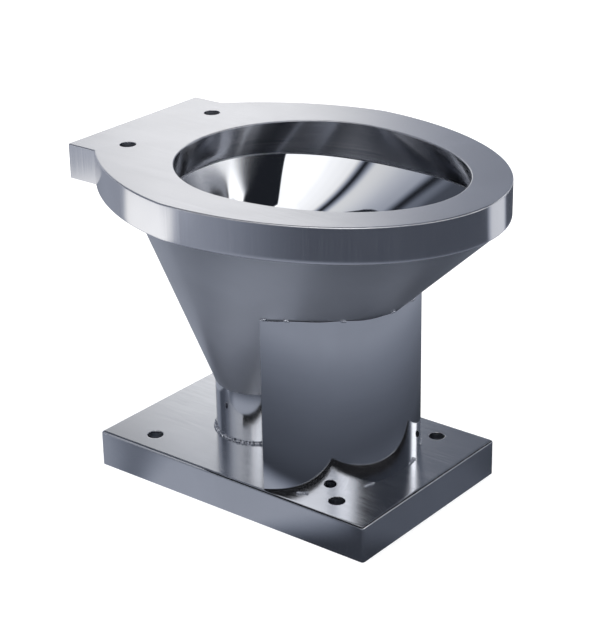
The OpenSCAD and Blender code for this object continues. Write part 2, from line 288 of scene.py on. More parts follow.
def bowl_lip(z):
    """The upper edge of the bowl's outside, under the rim."""
    return egg(z.rim_half_width - z.bowl_ledge, z.rim_front - z.bowl_ledge, z.bowl_rear, z.bowl_widest)


def bowl_height(z, point):
    """Height of the bowl's outside over a point of the plan."""
    facing = np.radians(np.arange(0, 360, 0.5))
    c, s = np.cos(facing), np.sin(facing)
    reach = np.where(s < 0, z.rim_front - z.bowl_ledge - z.bowl_widest, z.bowl_rear + z.bowl_widest)
    support = np.hypot((z.rim_half_width - z.bowl_ledge) * c, reach * s) - z.bowl_widest * s
    rim_under = z.rim_height - z.rim_depth
    across = point[0] * c + point[1] * s
    return z.pipe_top + (rim_under - z.pipe_top) * np.max(
        (across - z.pipe_radius) / (support - z.pipe_radius))


def at_height(path, height):
    """A plan path lifted to a height, or point by point to a row of heights."""
    return np.column_stack([path, np.broadcast_to(height, len(path))])


# Meshes

def loft(mesh, rows, closed=True, round_section=False):
    """Adds quads between rows of points. A round section joins the last row to the first."""
    rows = [[mesh.verts.new(p) for p in row] for row in rows]
    pairs = list(zip(rows[:-1], rows[1:]))
    if round_section:
        pairs.append((rows[-1], rows[0]))
    for low, high in pairs:
        count = len(low)
        for i in range(count if closed else count - 1):
            j = (i + 1) % count
            mesh.faces.new((low[i], low[j], high[j], high[i]))
    return rows


def fill(mesh, loops):
    """Fills the flat area between closed loops of vertices."""
    edges = []
    for loop in loops:
        for i, vertex in enumerate(loop):
            pair = (vertex, loop[(i + 1) % len(loop)])
            edges.append(mesh.edges.get(pair) or mesh.edges.new(pair))
    bmesh.ops.triangle_fill(mesh, use_beauty=True, use_dissolve=False, edges=edges)


def linked(name, data):
    """A new object in the scene."""
    made = bpy.data.objects.new(name, data)
    bpy.context.scene.collection.objects.link(made)
    return made


def finished(mesh, name):
    """Turns the bmesh into a piece: merged, closed, outward normals, smooth but for its sharp edges."""
    bmesh.ops.remove_doubles(mesh, verts=mesh.verts, dist=MERGE_DISTANCE)
    bmesh.ops.dissolve_degenerate(mesh, dist=LEAST_EDGE, edges=mesh.edges)
    bmesh.ops.recalc_face_normals(mesh, faces=mesh.faces)
    data = bpy.data.meshes.new(name)
    mesh.to_mesh(data)
    mesh.free()
    data.shade_smooth()
    data.set_sharp_from_angle(angle=math.radians(SHARP_DEGREES))
    return linked(name, data)


def place(piece, slot, node, *materials):
    """Gives a finished piece its materials and its place in the frame."""
    if piece.data.materials:
        piece.data.materials.clear()
    for material in materials:
        piece.data.materials.append(material)
    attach(piece, "root")
    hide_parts(node)


def paint_faces(mesh, rows):
    """Gives the second material to the faces that have all their corners in these rows."""
    corners = set(v for row in rows for v in row)
    for face in mesh.faces:
        face.material_index = 1 if corners.issuperset(face.verts) else 0


def quarter_turn(radius, steps, first=0):
    """Steps round an edge: how far each lies in from the side and short of the face."""
    for i in range(first, steps + 1):
        turn = math.pi / 2 * i / steps
        yield radius * (1 - math.cos(turn)), radius * (1 - math.sin(turn))


def edge_rows(path, top, radius, steps=5):
    """Rows of a rounded upper edge, from its foot to a row just inside the flat face. A negative radius
    rounds the edge of a cut-out."""
    size = abs(radius)
    side = -1 if radius > 0 else 1
    rows = [at_height(moved(path, side * inset), top - drop) for inset, drop in quarter_turn(size, steps)]
    rows.append(at_height(moved(path, side * (size + EDGE_SUPPORT)), top))
    return rows


def circle(centre, radius, count=48):
    """Points round a circle."""
    return arc(centre, radius, 0, 360 - 360 / count, count)


def bored_plate(mesh, rims, low, top):
    """A flat plate. Its rims are paths with their edge radii, negative round a cut-out."""
    made = [loft(mesh, [at_height(path, low)] + edge_rows(path, top, radius)) for path, radius in rims]
    fill(mesh, [rows[-1] for rows in made])
    fill(mesh, [rows[0] for rows in made])


# Steel finishes

def grain(tree, scale, detail=2.0, distortion=0.0):
    """Noise drawn out along the brushing. The scale is in lines per metre along each axis."""
    place_node = add_node(tree, "ShaderNodeTexCoord")
    mapping = add_node(tree, "ShaderNodeMapping", inputs={
        "Vector": place_node.outputs["Object"], "Scale": scale})
    return add_node(tree, "ShaderNodeTexNoise", inputs={
        "Vector": mapping.outputs["Vector"], "Scale": 1.0, "Detail": detail, "Distortion": distortion})


def duller_rear(tree, rough, start, end, extra):
    """Roughness that rises by the extra amount between two places along the pan."""
    axes = add_node(tree, "ShaderNodeSeparateXYZ", inputs={
        "Vector": add_node(tree, "ShaderNodeTexCoord").outputs["Object"]})
    more = add_node(tree, "ShaderNodeMapRange", inputs={
        "Value": axes.outputs["Y"], "From Min": start, "From Max": end, "To Min": 0.0, "To Max": extra})
    return maths(tree, "ADD", rough, more.outputs[0])


def steel(name, colour, roughness, streaks, streak_depth, bump, roughness_spread=0.05, anisotropy=0.0,
          anisotropy_turn=0.0, rear=None):
    """Stainless steel: a grain of the given lines per metre, and slow unevenness from rolling."""
    material, tree = bare_material(name)
    fine = grain(tree, streaks)
    slow = grain(tree, (9, 9, 9), 3.0, 0.4)
    light = [min(1.0, c * (1 + streak_depth)) for c in colour]
    dark = [c * (1 - streak_depth) for c in colour]
    tint = add_node(tree, "ShaderNodeMix", {"data_type": "RGBA"}, {
        "Factor": fine.outputs["Fac"], "A": dark + [1], "B": light + [1]})
    uneven = add_node(tree, "ShaderNodeMapRange", inputs={
        "Value": slow.outputs["Fac"], "From Min": 0.3, "From Max": 0.7, "To Min": 0.95, "To Max": 1.05})
    shade = add_node(tree, "ShaderNodeMix", {"data_type": "RGBA", "blend_type": "MULTIPLY"}, {
        "Factor": 1.0, "A": tint.outputs["Result"], "B": uneven.outputs["Result"]})
    rough = add_node(tree, "ShaderNodeMapRange", inputs={
        "Value": fine.outputs["Fac"], "From Min": 0.3, "From Max": 0.7,
        "To Min": max(0.02, roughness - roughness_spread), "To Max": roughness + roughness_spread})
    rough = rough.outputs["Result"]
    if rear:
        rough = duller_rear(tree, rough, *rear)
    relief = add_node(tree, "ShaderNodeBump", inputs={
        "Strength": bump, "Distance": 0.0002, "Height": fine.outputs["Fac"]})
    shader = add_node(tree, "ShaderNodeBsdfPrincipled", inputs={
        "Base Color": shade.outputs["Result"], "Metallic": 1.0, "Roughness": rough,
        "Anisotropic": anisotropy, "Anisotropic Rotation": anisotropy_turn,
        "Normal": relief.outputs["Normal"]})
    add_node(tree, "ShaderNodeOutputMaterial", inputs={"Surface": shader.outputs["BSDF"]})
    return material


FINISHES = {}


def finishes():
    """The steel finishes, made once. After the colour come roughness, lines of grain per metre along the
    axes, and how strongly the grain shows in the colour and as relief."""
    if FINISHES:
        return FINISHES
    colours = bpy.context.scene.pan_colours
    brushed, smooth = list(colours.brushed), list(colours.smooth)
    # Satin brushed sheet, ground across the pan: an even, pale sheen with hardly any picture in it
    FINISHES["plate"] = steel("satin_brushed_plate", brushed, 0.24, (1100, 10, 1100), 0.008, 0.003,
                              roughness_spread=0.02)
    # Sheet brushed upright round the bend: the room's light and dark bands, softened at their edges
    FINISHES["skirt"] = steel("upright_brushed_skirt", brushed, 0.13, (500, 500, 8), 0.03, 0.01,
                              roughness_spread=0.03)
    # Sheet brushed lengthwise: dark reflections smeared out across the brushing, on a colour darkened as
    # painted shade of the rim
    FINISHES["wall"] = steel("lengthwise_brushed_wall", list(colours.wall), 0.19, (10, 10, 700), 0.06, 0.004,
                             roughness_spread=0.02, anisotropy=0.85, anisotropy_turn=0.25)
    # Electropolished bowl: a clear mirror of the room, duller at the rear, which the wheel doesn't reach
    FINISHES["bowl"] = steel("polished_bowl_steel", smooth, 0.035, (40, 40, 40), 0.01, 0.0,
                             roughness_spread=0.005, rear=(0.045, 0.078, 0.22))
    # Cold-rolled mill finish on the bowl's outside: a broad grey sheen without edges
    FINISHES["bowl_back"] = steel("mill_finish_bowl_back", smooth, 0.40, (12, 12, 60), 0.01, 0.0,
                                  roughness_spread=0.01)
    # Rough inside of the pipe: dull, and dark from painted shade in its colour
    FINISHES["bore"] = steel("dull_pipe_bore", list(colours.bore), 0.55, (200, 200, 60), 0.1, 0.05)
    # Mill finish on the hidden sheets: matt grey
    FINISHES["sheet"] = steel("mill_finish_sheet", smooth, 0.32, (300, 300, 300), 0.05, 0.03)
    # Drawn and polished tube: narrow bright lines along its length
    FINISHES["pipe"] = steel("drawn_steel_tube", smooth, 0.10, (500, 500, 20), 0.02, 0.0,
                             roughness_spread=0.02)
    # Bright rolled sheet: a soft mirror that shows the floor box and the room's floor
    FINISHES["apron"] = steel("rolled_apron_steel", smooth, 0.06, (12, 12, 300), 0.015, 0.0,
                              roughness_spread=0.01)
    # Folded satin sheet, ground along the box: a blurred mirror of what stands on it
    FINISHES["box"] = steel("satin_folded_box", smooth, 0.19, (700, 20, 700), 0.02, 0.008,
                            roughness_spread=0.03)
    # Bare weld bead: rough silver lumps that sparkle at single points
    FINISHES["weld"] = steel("bare_weld_bead", list(colours.weld), 0.18, (900, 900, 900), 0.15, 0.4,
                             roughness_spread=0.1)
    return FINISHES


# Pieces

class PAN_OT_seat_plate(bpy.types.Operator):
    """Seat plate with its ground edges, opening and hinge holes"""
    bl_idname = "pan.seat_plate"
    bl_label = "Seat plate"

    def execute(self, context):
        z = context.scene.pan_sizes
        skirt, deck = rim_paths(z)
        outline = without_repeats(np.concatenate([deck, skirt]))
        rims = [(outline, z.edge_radius), (opening_path(z), -OPENING_EDGE)]
        for side in (-1, 1):
            rims.append((circle((side * z.hinge_half_spacing, z.hinge_back), z.hole_radius), -HOLE_EDGE))
        mesh = bmesh.new()
        bored_plate(mesh, rims, z.rim_height - z.rim_sheet, z.rim_height)
        place(finished(mesh, "seat_plate_skin"), "brushed_plate", "seat_plate", finishes()["plate"])
        return {"FINISHED"}


def rim_skirt(z, top, under):
    """The bent skirt, open at the deck's side seams, with a ground lower edge."""
    path = rim_paths(z)[0]
    rows = [at_height(path, h) for h in np.linspace(top, under + SKIRT_FOOT_EDGE, 9)]
    rows += [at_height(moved(path, -inset, False), under + rise)
             for inset, rise in quarter_turn(SKIRT_FOOT_EDGE, 4, 1)]
    inner = moved(path, -z.rim_sheet, False)
    rows += [at_height(inner, under), at_height(inner, top)]
    mesh = bmesh.new()
    made = loft(mesh, rows, closed=False, round_section=True)
    for end in (0, -1):
        mesh.faces.new([row[end] for row in made])
    return finished(mesh, "rim_skirt_skin")


def rim_inner_wall(z, top, floor):
    """The wall that leans from the opening to the bowl's mouth."""
    mouth, opening = mouth_path(z), opening_path(z)
    rows = []
    for share in np.linspace(0, 1, 13):
        rows.append(at_height(mouth * (1 - share) + opening * share, floor + (top - floor) * share))
    for share in (1, 0):
        path = moved(mouth * (1 - share) + opening * share, z.rim_sheet)
        rows.append(at_height(path, floor + (top - floor) * share))
    mesh = bmesh.new()
    loft(mesh, rows, round_section=True)
    return finished(mesh, "rim_inner_wall_skin")


class PAN_OT_rim_walls(bpy.types.Operator):
    """Skirt round the rim and leaning inner wall"""
    bl_idname = "pan.rim_walls"
    bl_label = "Rim walls"

    def execute(self, context):
        z = context.scene.pan_sizes
        top, under = z.rim_height - z.rim_sheet, z.rim_height - z.rim_depth
        place(rim_skirt(z, top, under), "brushed_skirt", "rim_skirt", finishes()["skirt"])
        wall = rim_inner_wall(z, top, under + z.rim_sheet)
        place(wall, "brushed_wall", "rim_inner_wall", finishes()["wall"])
        return {"FINISHED"}


# At its first slope the bowl's inside would run in by this many times the outside's run from lip to pipe, and
# by this many metres at least. The softnesses round the change to the least run and the turn into the pipe.
INSIDE_RUN_SHARE = 1.42
INSIDE_LEAST_RUN = 0.092
RUN_SOFTNESS = 0.0001
BEND_SOFTNESS = 0.0008


def soft_positive(value, softness):
    """About the value above zero and about zero below, with a smooth change between."""
    return 0.5 * (value + np.sqrt(value * value + softness))


def bowl_inside_shares(run, full_run, count=49):
    """Shares of the height, from the mouth down, and of the way from the pipe's bore out to the mouth. The
    sheet leaves the mouth a little flatter than the outside and turns down into the pipe."""
    run = run + soft_positive(INSIDE_LEAST_RUN - run, RUN_SOFTNESS)
    slope = run / full_run
    end = soft_positive(1 - slope, BEND_SOFTNESS)
    for share in np.linspace(1, 0, count):
        left = soft_positive(1 - slope * (1 - share), BEND_SOFTNESS * (1 - share))
        yield share, left - end * (1 - share) ** 3


class PAN_OT_bowl(bpy.types.Operator):
    """Rolled and polished bowl"""
    bl_idname = "pan.bowl"
    bl_label = "Bowl"

    def execute(self, context):
        z = context.scene.pan_sizes
        rise = z.rim_height - z.rim_depth - z.pipe_top
        low_out = circle((0, 0), z.pipe_radius, EGG_POINTS)
        low_in = circle((0, 0), z.pipe_radius - z.bowl_wall, EGG_POINTS)
        lip, mouth = bowl_lip(z), mouth_path(z)
        rows = [at_height(low_out * (1 - share) + lip * share, z.pipe_top + rise * share)
                for share in np.linspace(0, 1, 25)]
        outside = len(rows)
        run = INSIDE_RUN_SHARE * np.linalg.norm(lip - low_out, axis=1, keepdims=True)
        full_run = np.linalg.norm(mouth - low_in, axis=1, keepdims=True)
        for share, left in bowl_inside_shares(run, full_run):
            rows.append(at_height(low_in + (mouth - low_in) * left, z.pipe_top + rise * share))
        mesh = bmesh.new()
        paint_faces(mesh, loft(mesh, rows, round_section=True)[:outside])
        place(finished(mesh, "bowl_skin"), "polished_bowl", "bowl",
              finishes()["bowl"], finishes()["bowl_back"])
        return {"FINISHED"}


class PAN_OT_pipe(bpy.types.Operator):
    """Waste pipe"""
    bl_idname = "pan.pipe"
    bl_label = "Waste pipe"

    def execute(self, context):
        z = context.scene.pan_sizes
        outer = circle((0, 0), z.pipe_radius, PIPE_POINTS)
        inner = circle((0, 0), z.pipe_radius - z.pipe_wall, PIPE_POINTS)
        heights = np.linspace(0, z.pipe_top, 8)
        rows = [at_height(outer, h) for h in heights] + [at_height(inner, h) for h in heights[::-1]]
        mesh = bmesh.new()
        # The inner faces take the bore finish, whose dark colour is painted shade
        paint_faces(mesh, loft(mesh, rows, round_section=True)[len(heights):])
        place(finished(mesh, "waste_pipe_skin"), "plain_pipe", "waste_pipe",
              finishes()["pipe"], finishes()["bore"])
        return {"FINISHED"}


def apron_point(z, share, radius):
    """A point of the apron's plan, from its left edge at share 0 to its right edge at 1."""
    turn = math.radians(270) - z.apron_sweep / 2 + z.apron_sweep * share
    return np.array([radius * math.cos(turn), radius * math.sin(turn) - z.apron_forward])


def cut_gap(z, share):
    """The gap over the apron's hand-cut upper edge, which wanders."""
    return z.apron_gap + sum(height * math.sin(rate * share + phase) for height, rate, phase in GAP_WAVES)


class PAN_OT_apron(bpy.types.Operator):
    """Rolled front apron, its upper edge cut to the bowl"""
    bl_idname = "pan.apron"
    bl_label = "Front apron"

    def execute(self, context):
        z = context.scene.pan_sizes
        shares, steps = np.linspace(0, 1, 241), 17
        rows = []
        for radius, heights in ((z.apron_radius, np.linspace(0, 1, steps)),
                                (z.apron_radius - z.apron_sheet, np.linspace(1, 0, steps))):
            path = np.array([apron_point(z, s, radius) for s in shares])
            tops = np.array([bowl_height(z, p) - cut_gap(z, s) for p, s in zip(path, shares)])
            rows += [at_height(path, z.box_height + (tops - z.box_height) * share) for share in heights]
        mesh = bmesh.new()
        made = loft(mesh, rows, closed=False, round_section=True)
        for end in (0, -1):
            for k in range(steps - 1):
                mesh.faces.new([made[i][end] for i in (k, k + 1, -k - 2, -k - 1)])
        place(finished(mesh, "front_apron_skin"), "rolled_apron", "front_apron", finishes()["apron"])
        return {"FINISHED"}


def rounded_box_path(z, inset):
    """The floor box's outline moved in by a distance, with the same number of points at any inset."""
    corner_steps, side_steps = 8, 24
    middle = z.box_length / 2 - z.box_front
    half_x, half_y = z.box_width / 2 - inset, z.box_length / 2 - inset
    radius = max(z.box_edge - inset, LEAST_CORNER)
    corners = []
    for k, (sx, sy) in enumerate(((1, -1), (1, 1), (-1, 1), (-1, -1))):
        centre = (sx * (half_x - radius), middle + sy * (half_y - radius))
        corners.append(arc(centre, radius, -90 + 90 * k, 90 * k, corner_steps + 1))
    path = []
    for k, corner in enumerate(corners):
        path += [corner, line(corner[-1], corners[(k + 1) % 4][0], side_steps + 1)[1:-1]]
    return np.concatenate(path)


class PAN_OT_floor_box(bpy.types.Operator):
    """Folded floor box with its bolt holes"""
    bl_idname = "pan.floor_box"
    bl_label = "Floor box"

    def execute(self, context):
        z = context.scene.pan_sizes
        middle = z.box_length / 2 - z.box_front
        sheet, edge, top = z.box_sheet, z.box_edge, z.box_height
        mesh = bmesh.new()
        rows = [at_height(rounded_box_path(z, 0), h) for h in np.linspace(0, top - edge, 6)]
        rows += [at_height(rounded_box_path(z, inset), top - drop)
                 for inset, drop in quarter_turn(edge, 8, 1)]
        rows.append(at_height(rounded_box_path(z, edge + BOX_EDGE_SUPPORT), top))
        outside = loft(mesh, rows)
        inside = loft(mesh, [at_height(rounded_box_path(z, sheet), h) for h in (0, top - sheet)])
        outer, inner = outside[0], inside[0]
        for i in range(len(outer)):
            j = (i + 1) % len(outer)
            mesh.faces.new((outer[i], outer[j], inner[j], inner[i]))
        holes = [circle((x * z.bolt_half_x, middle + y * z.bolt_half_y), z.hole_radius)
                 for x in (-1, 1) for y in (-1, 1)]
        holes.append(circle((0, 0), z.pipe_radius + PIPE_CLEARANCE, 96))
        bored = [loft(mesh, [at_height(path, top - sheet)] + edge_rows(path, top, -PUNCHED_EDGE, 4))
                 for path in holes]
        fill(mesh, [rows[-1] for rows in [outside] + bored])
        fill(mesh, [inside[-1]] + [rows[0] for rows in bored])
        place(finished(mesh, "floor_box_skin"), "satin_box", "floor_box", finishes()["box"])
        return {"FINISHED"}


def bead_tree():
    """Geometry nodes: an uneven weld bead of small lumps on the points of a mesh."""
    tree = bpy.data.node_groups.new("weld_bead", "GeometryNodeTree")
    face = tree.interface
    face.new_socket("Geometry", in_out="INPUT", socket_type="NodeSocketGeometry")
    for name, value, kind in (("Lump radius", 0.002, "NodeSocketFloat"),
                              ("Unevenness", 0.4, "NodeSocketFloat"), ("Wander", 0.0005, "NodeSocketFloat"),
                              ("Seed", 3, "NodeSocketInt"), ("Finish", None, "NodeSocketMaterial")):
        socket = face.new_socket(name, in_out="INPUT", socket_type=kind)
        if value is not None:
            socket.default_value = value
    face.new_socket("Geometry", in_out="OUTPUT", socket_type="NodeSocketGeometry")
    given = add_node(tree, "NodeGroupInput").outputs
    points = add_node(tree, "GeometryNodeMeshToPoints", inputs={"Mesh": given["Geometry"]})

    def same_along_axes(value):
        return add_node(tree, "ShaderNodeCombineXYZ", inputs={i: value for i in range(3)}).outputs[0]

    def random_vector(**limits):
        return add_node(tree, "FunctionNodeRandomValue", {"data_type": "FLOAT_VECTOR"}, {
            **limits, "Seed": given["Seed"]}).outputs["Value"]

    shift = random_vector(Min=same_along_axes(maths(tree, "MULTIPLY", given["Wander"], -1.0)),
                          Max=same_along_axes(given["Wander"]))
    size = random_vector(Min=same_along_axes(maths(tree, "SUBTRACT", 1.0, given["Unevenness"])),
                         Max=same_along_axes(maths(tree, "ADD", 1.0, given["Unevenness"])))
    spin = random_vector(Max=(math.tau, math.tau, math.tau))
    jog = add_node(tree, "GeometryNodeSetPosition", inputs={
        "Geometry": points.outputs["Points"], "Offset": shift})
    lump = add_node(tree, "GeometryNodeMeshUVSphere", inputs={
        "Segments": 12, "Rings": 8, "Radius": given["Lump radius"]})
    lumps = add_node(tree, "GeometryNodeInstanceOnPoints", inputs={
        "Points": jog.outputs["Geometry"], "Instance": lump.outputs["Mesh"], "Rotation": spin, "Scale": size})
    real = add_node(tree, "GeometryNodeRealizeInstances", inputs={"Geometry": lumps.outputs["Instances"]})
    shaded = add_node(tree, "GeometryNodeSetShadeSmooth", inputs={"Geometry": real.outputs["Geometry"]})
    dressed = add_node(tree, "GeometryNodeSetMaterial", inputs={
        "Geometry": shaded.outputs["Geometry"], "Material": given["Finish"]})
    add_node(tree, "NodeGroupOutput", inputs={"Geometry": dressed.outputs["Geometry"]})
    return tree


def bead(name, node, points, **values):
    """A weld bead along points, made plain mesh. The values are the node tree's inputs by name."""
    tree = bpy.data.node_groups.get("weld_bead") or bead_tree()
    data = bpy.data.meshes.new(name + "_points")
    data.from_pydata([tuple(p) for p in points], [], [])
    carrier = linked(name + "_points", data)
    modifier = carrier.modifiers.new("bead", "NODES")
    modifier.node_group = tree
    values["finish"] = finishes()["weld"]
    for socket in tree.interface.items_tree:
        key = socket.name.lower().replace(" ", "_")
        if socket.in_out == "INPUT" and key in values:
            modifier[socket.identifier] = values[key]
    evaluated = carrier.evaluated_get(bpy.context.evaluated_depsgraph_get())
    made = bpy.data.meshes.new_from_object(evaluated)
    made.name = name
    bpy.data.objects.remove(carrier)
    place(linked(name, made), "weld", node, finishes()["weld"])


def apron_beads(z, shares, half_count, step):
    """Points of short beads along the apron's outside, at these shares of its sweep."""
    return [apron_point(z, share + k * step, z.apron_radius + TACK_OUT)
            for share in shares for k in range(-half_count, half_count + 1)]


class PAN_OT_welds(bpy.types.Operator):
    """Weld beads: pipe's foot, apron's edges and the bowl's seam"""
    bl_idname = "pan.welds"
    bl_label = "Welds"

    def execute(self, context):
        z = context.scene.pan_sizes
        ring = circle((0, 0), z.pipe_radius + FOOT_BEAD_OUT, FOOT_LUMPS)
        bead("pipe_foot_bead", "pipe_foot_weld", at_height(ring, z.box_height + FOOT_BEAD_UP),
             lump_radius=0.0016, unevenness=0.45, wander=0.0006, seed=5)
        tacks = apron_beads(z, TACK_PLACES, TACK_HALF_LUMPS, TACK_STEP)
        bead("apron_tack_beads", "apron_tack_welds", [(*p, bowl_height(z, p) - TACK_DOWN) for p in tacks],
             lump_radius=0.0014, unevenness=0.4, wander=0.0005, seed=8)
        stitches = apron_beads(z, STITCH_PLACES, STITCH_HALF_LUMPS, STITCH_STEP)
        bead("apron_stitch_beads", "apron_stitch_welds", [(*p, z.box_height + STITCH_UP) for p in stitches],
             lump_radius=0.0013, unevenness=0.4, wander=0.0004, seed=11)
        foot = np.array([0, z.pipe_radius, z.pipe_top])
        head = np.array([0, z.bowl_rear, z.rim_height - z.rim_depth])
        seam = [foot + (head - foot) * share for share in np.linspace(0.01, 0.99, SEAM_LUMPS)]
        bead("bowl_seam_bead", "bowl_seam_weld", seam,
             lump_radius=0.0014, unevenness=0.2, wander=0.0002, seed=13)
        return {"FINISHED"}


class PAN_OT_hidden_parts(bpy.types.Operator):
    """Finish of the parts that keep their construction shape"""
    bl_idname = "pan.hidden_parts"
    bl_label = "Deck, underside and inner parts"

    def execute(self, context):
        for name, finish in (("deck_wall", "skirt"), ("rim_floor_plate", "sheet"), ("flush_socket", "pipe"),
                             ("seat_bolt_sleeves", "sheet"), ("front_cross_rib", "sheet"),
                             ("rear_cross_rib", "sheet"), ("floor_bolt_sleeves", "sheet")):
            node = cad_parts[name]
            node.data.materials.clear()
            node.data.materials.append(finishes()[finish])
        return {"FINISHED"}


# Stage

# The photograph's camera, solved from the pan's corners, holes and outlines. Places are in metres.
CAMERA_PLACE = (-1.49062, -1.24997, 1.02078)
CAMERA_RIGHT = (0.62045, -0.78405, -0.01739)
CAMERA_UP = (0.32126, 0.23388, 0.91765)
CAMERA_SENSOR_MM = 36
CAMERA_LENS_MM = 109.432

# Height and edges of the dark flag, which keeps clear of the floor box
FLAG_HEIGHT = 0.06
FLAG_INNER = ((-0.125, 0.0), (-0.125, -0.237), (0.123, -0.237), (0.2, -0.237))
FLAG_OUTER = ((-0.17, 0.0), (-0.17, -0.29), (0.123, -0.29), (0.2, -0.29))

# The room that the steel mirrors: a sphere and a disc of floor just over the white one, in metres. The bases
# are the brightness of what no part covers.
ROOM_RADIUS = 60.0
ROOM_FLOOR_RADIUS = 3.0
ROOM_FLOOR_HEIGHT = 0.0003
ROOM_WALLS_BASE = 0.4
ROOM_FLOOR_BASE = 0.055
ROOM_DARK_TINT = (0.86, 0.97, 1.24, 1)
ROOM_BRIGHT_TINT = (1.0, 0.995, 0.985, 1)

# Brightness of the flag's underside, of the white floor's own glow, and of the white world as a light
FLAG_GLOW = 0.02
PAPER_GLOW = 0.45
WORLD_LIGHT = 0.75

# Half of the white floor's side, in metres
FLOOR_HALF_SIZE = 9

# Soft round lamps: name, place and size in metres, and power in watts
LAMPS = (("key_lamp", (-1.6, 1.2, 2.6), 1.6, 30), ("fill_lamp", (1.4, -1.6, 2.4), 2.0, 18))

# Parts of the mirrored room, placed and levelled against the photo; the slanted ones follow lines
# fitted to the edges of its reflections. In degrees: azimuth, half width, soft edge, lowest and highest
# elevation, soft edge. Then brightness, and for some a turn in degrees. A later part covers an earlier one.
ROOM_WALLS = (
    (35, 180, 1, -60, 95, 1, 0.42),
    (90, 52, 20, 10, 34, 8, 0.45),
    (41, 5.5, 5, 8, 27.5, 3, 1.30),
    (56, 10, 6, 8, 27.5, 3, 0.85),
    (15, 20, 8, 8, 44, 6, 0.34),
    (20, 17, 5, 24, 44, 3, 0.13),
    (53, 9.5, 2, 26.6, 40, 1.5, 0.03),
    (60, 100, 12, 43, 95, 5, 0.045),
    (93, 16, 8, 54, 72, 4, 0.5),
    (168, 24, 5, 47, 95, 4, 0.02),
    (10, 30, 12, 54, 70, 4, 0.6),
    (-60, 45, 8, 20, 66, 3, 0.06),
    (-4, 7, 5, 21, 34, 4, 2.6),
    (-58, 14, 4, 6, 17, 2, 1.7),
    (-95, 50, 6, 20.4, 29.4, 2, 2.4, -24.0),
    (-82, 16, 4, 8, 20, 3, 1.7),
    (-118, 42, 4, 39.2, 55.2, 4.5, 0.02, -24.0),
    (-134, 16, 4, 39.3, 52, 1, 0.02),
    (-140, 22, 8, 52, 66, 3, 0.9),
    (-160, 40, 4, 21.8, 53.8, 0.35, 1.62, -39.1),
    (158, 30, 6, 9.7, 33.7, 3, 0.42, -14.9),
    (158, 30, 6, 22.85, 37.35, 14.5, 1.0, -14.9),
    (178, 28, 8, 29.0, 41.6, 3, 1.46, -14.9),
    (178, 28, 8, 28.95, 37.75, 3, 1.38, -14.9),
    (178, 28, 8, 28.9, 34.2, 3, 1.29, -14.9),
    (118, 26, 4, 13.1, 29.1, 1.5, 0.22, -18.1),
    (104, 14, 14, 0, 29, 2, 0.10),
    (166, 20, 4, -5, 19, 2, 0.06, 11.3),
    (167, 28, 3, 29.85, 33.55, 3.6, 0.02, -14.9),
    (139, 16, 2, 21.8, 23.5, 1.7, 0.02, -18.1),
)
# The same on the floor, with distances in metres in place of the elevations
ROOM_FLOOR = (
    (0, 180, 1, 0.30, 9.0, 0.10, 0.10),
    (0, 180, 1, 0.40, 9.0, 0.14, 0.155),
    (0, 180, 1, 0.50, 9.0, 0.14, 0.24),
    (0, 180, 1, 0.60, 9.0, 0.14, 0.38),
    (-60, 120, 60, 0.84, 9.0, 0.20, 0.10),
    (95, 45, 20, 0.10, 0.55, 0.10, 0.40),
    (-85, 22, 14, 0.20, 0.33, 0.06, 0.13),
    (186, 38, 22, 0.06, 0.25, 0.05, 0.46),
    (134, 24, 10, 1.15, 9.0, 0.10, 0.50),
    (126.5, 22.5, 6, 0.70, 1.17, 0.10, 1.25),
    (-34, 13, 8, 0.75, 9.0, 0.20, 0.80),
    (0, 180, 1, -0.1, 0.06, 0.01, 0.0),
)


def painted(tree, azimuth, height, base, parts):
    """Brightness that is set part by part over two coordinates. A part can be turned by some degrees."""
    level = base
    for centre, half, edge, low, high, soft, brightness, *turn in parts:
        across = maths(tree, "WRAP", maths(tree, "SUBTRACT", azimuth, float(centre)), 180.0, -180.0)
        along = maths(tree, "SUBTRACT", height, (low + high) / 2)
        if turn:
            c, s = math.cos(math.radians(turn[0])), math.sin(math.radians(turn[0]))
            across, along = (maths(tree, "MULTIPLY_ADD", along, s, maths(tree, "MULTIPLY", across, c)),
                             maths(tree, "MULTIPLY_ADD", across, -s, maths(tree, "MULTIPLY", along, c)))
        covers = []
        for place_on, reach, softness in ((across, half, edge), (along, (high - low) / 2, soft)):
            covers.append(add_node(tree, "ShaderNodeMapRange", {"interpolation_type": "SMOOTHSTEP"}, {
                "Value": maths(tree, "ABSOLUTE", place_on),
                "From Min": reach + softness / 2, "From Max": reach - softness / 2}).outputs[0])
        level = add_node(tree, "ShaderNodeMix", {"data_type": "FLOAT"}, {
            "Factor": maths(tree, "MULTIPLY", *covers), "A": level, "B": brightness}).outputs[0]
    return level


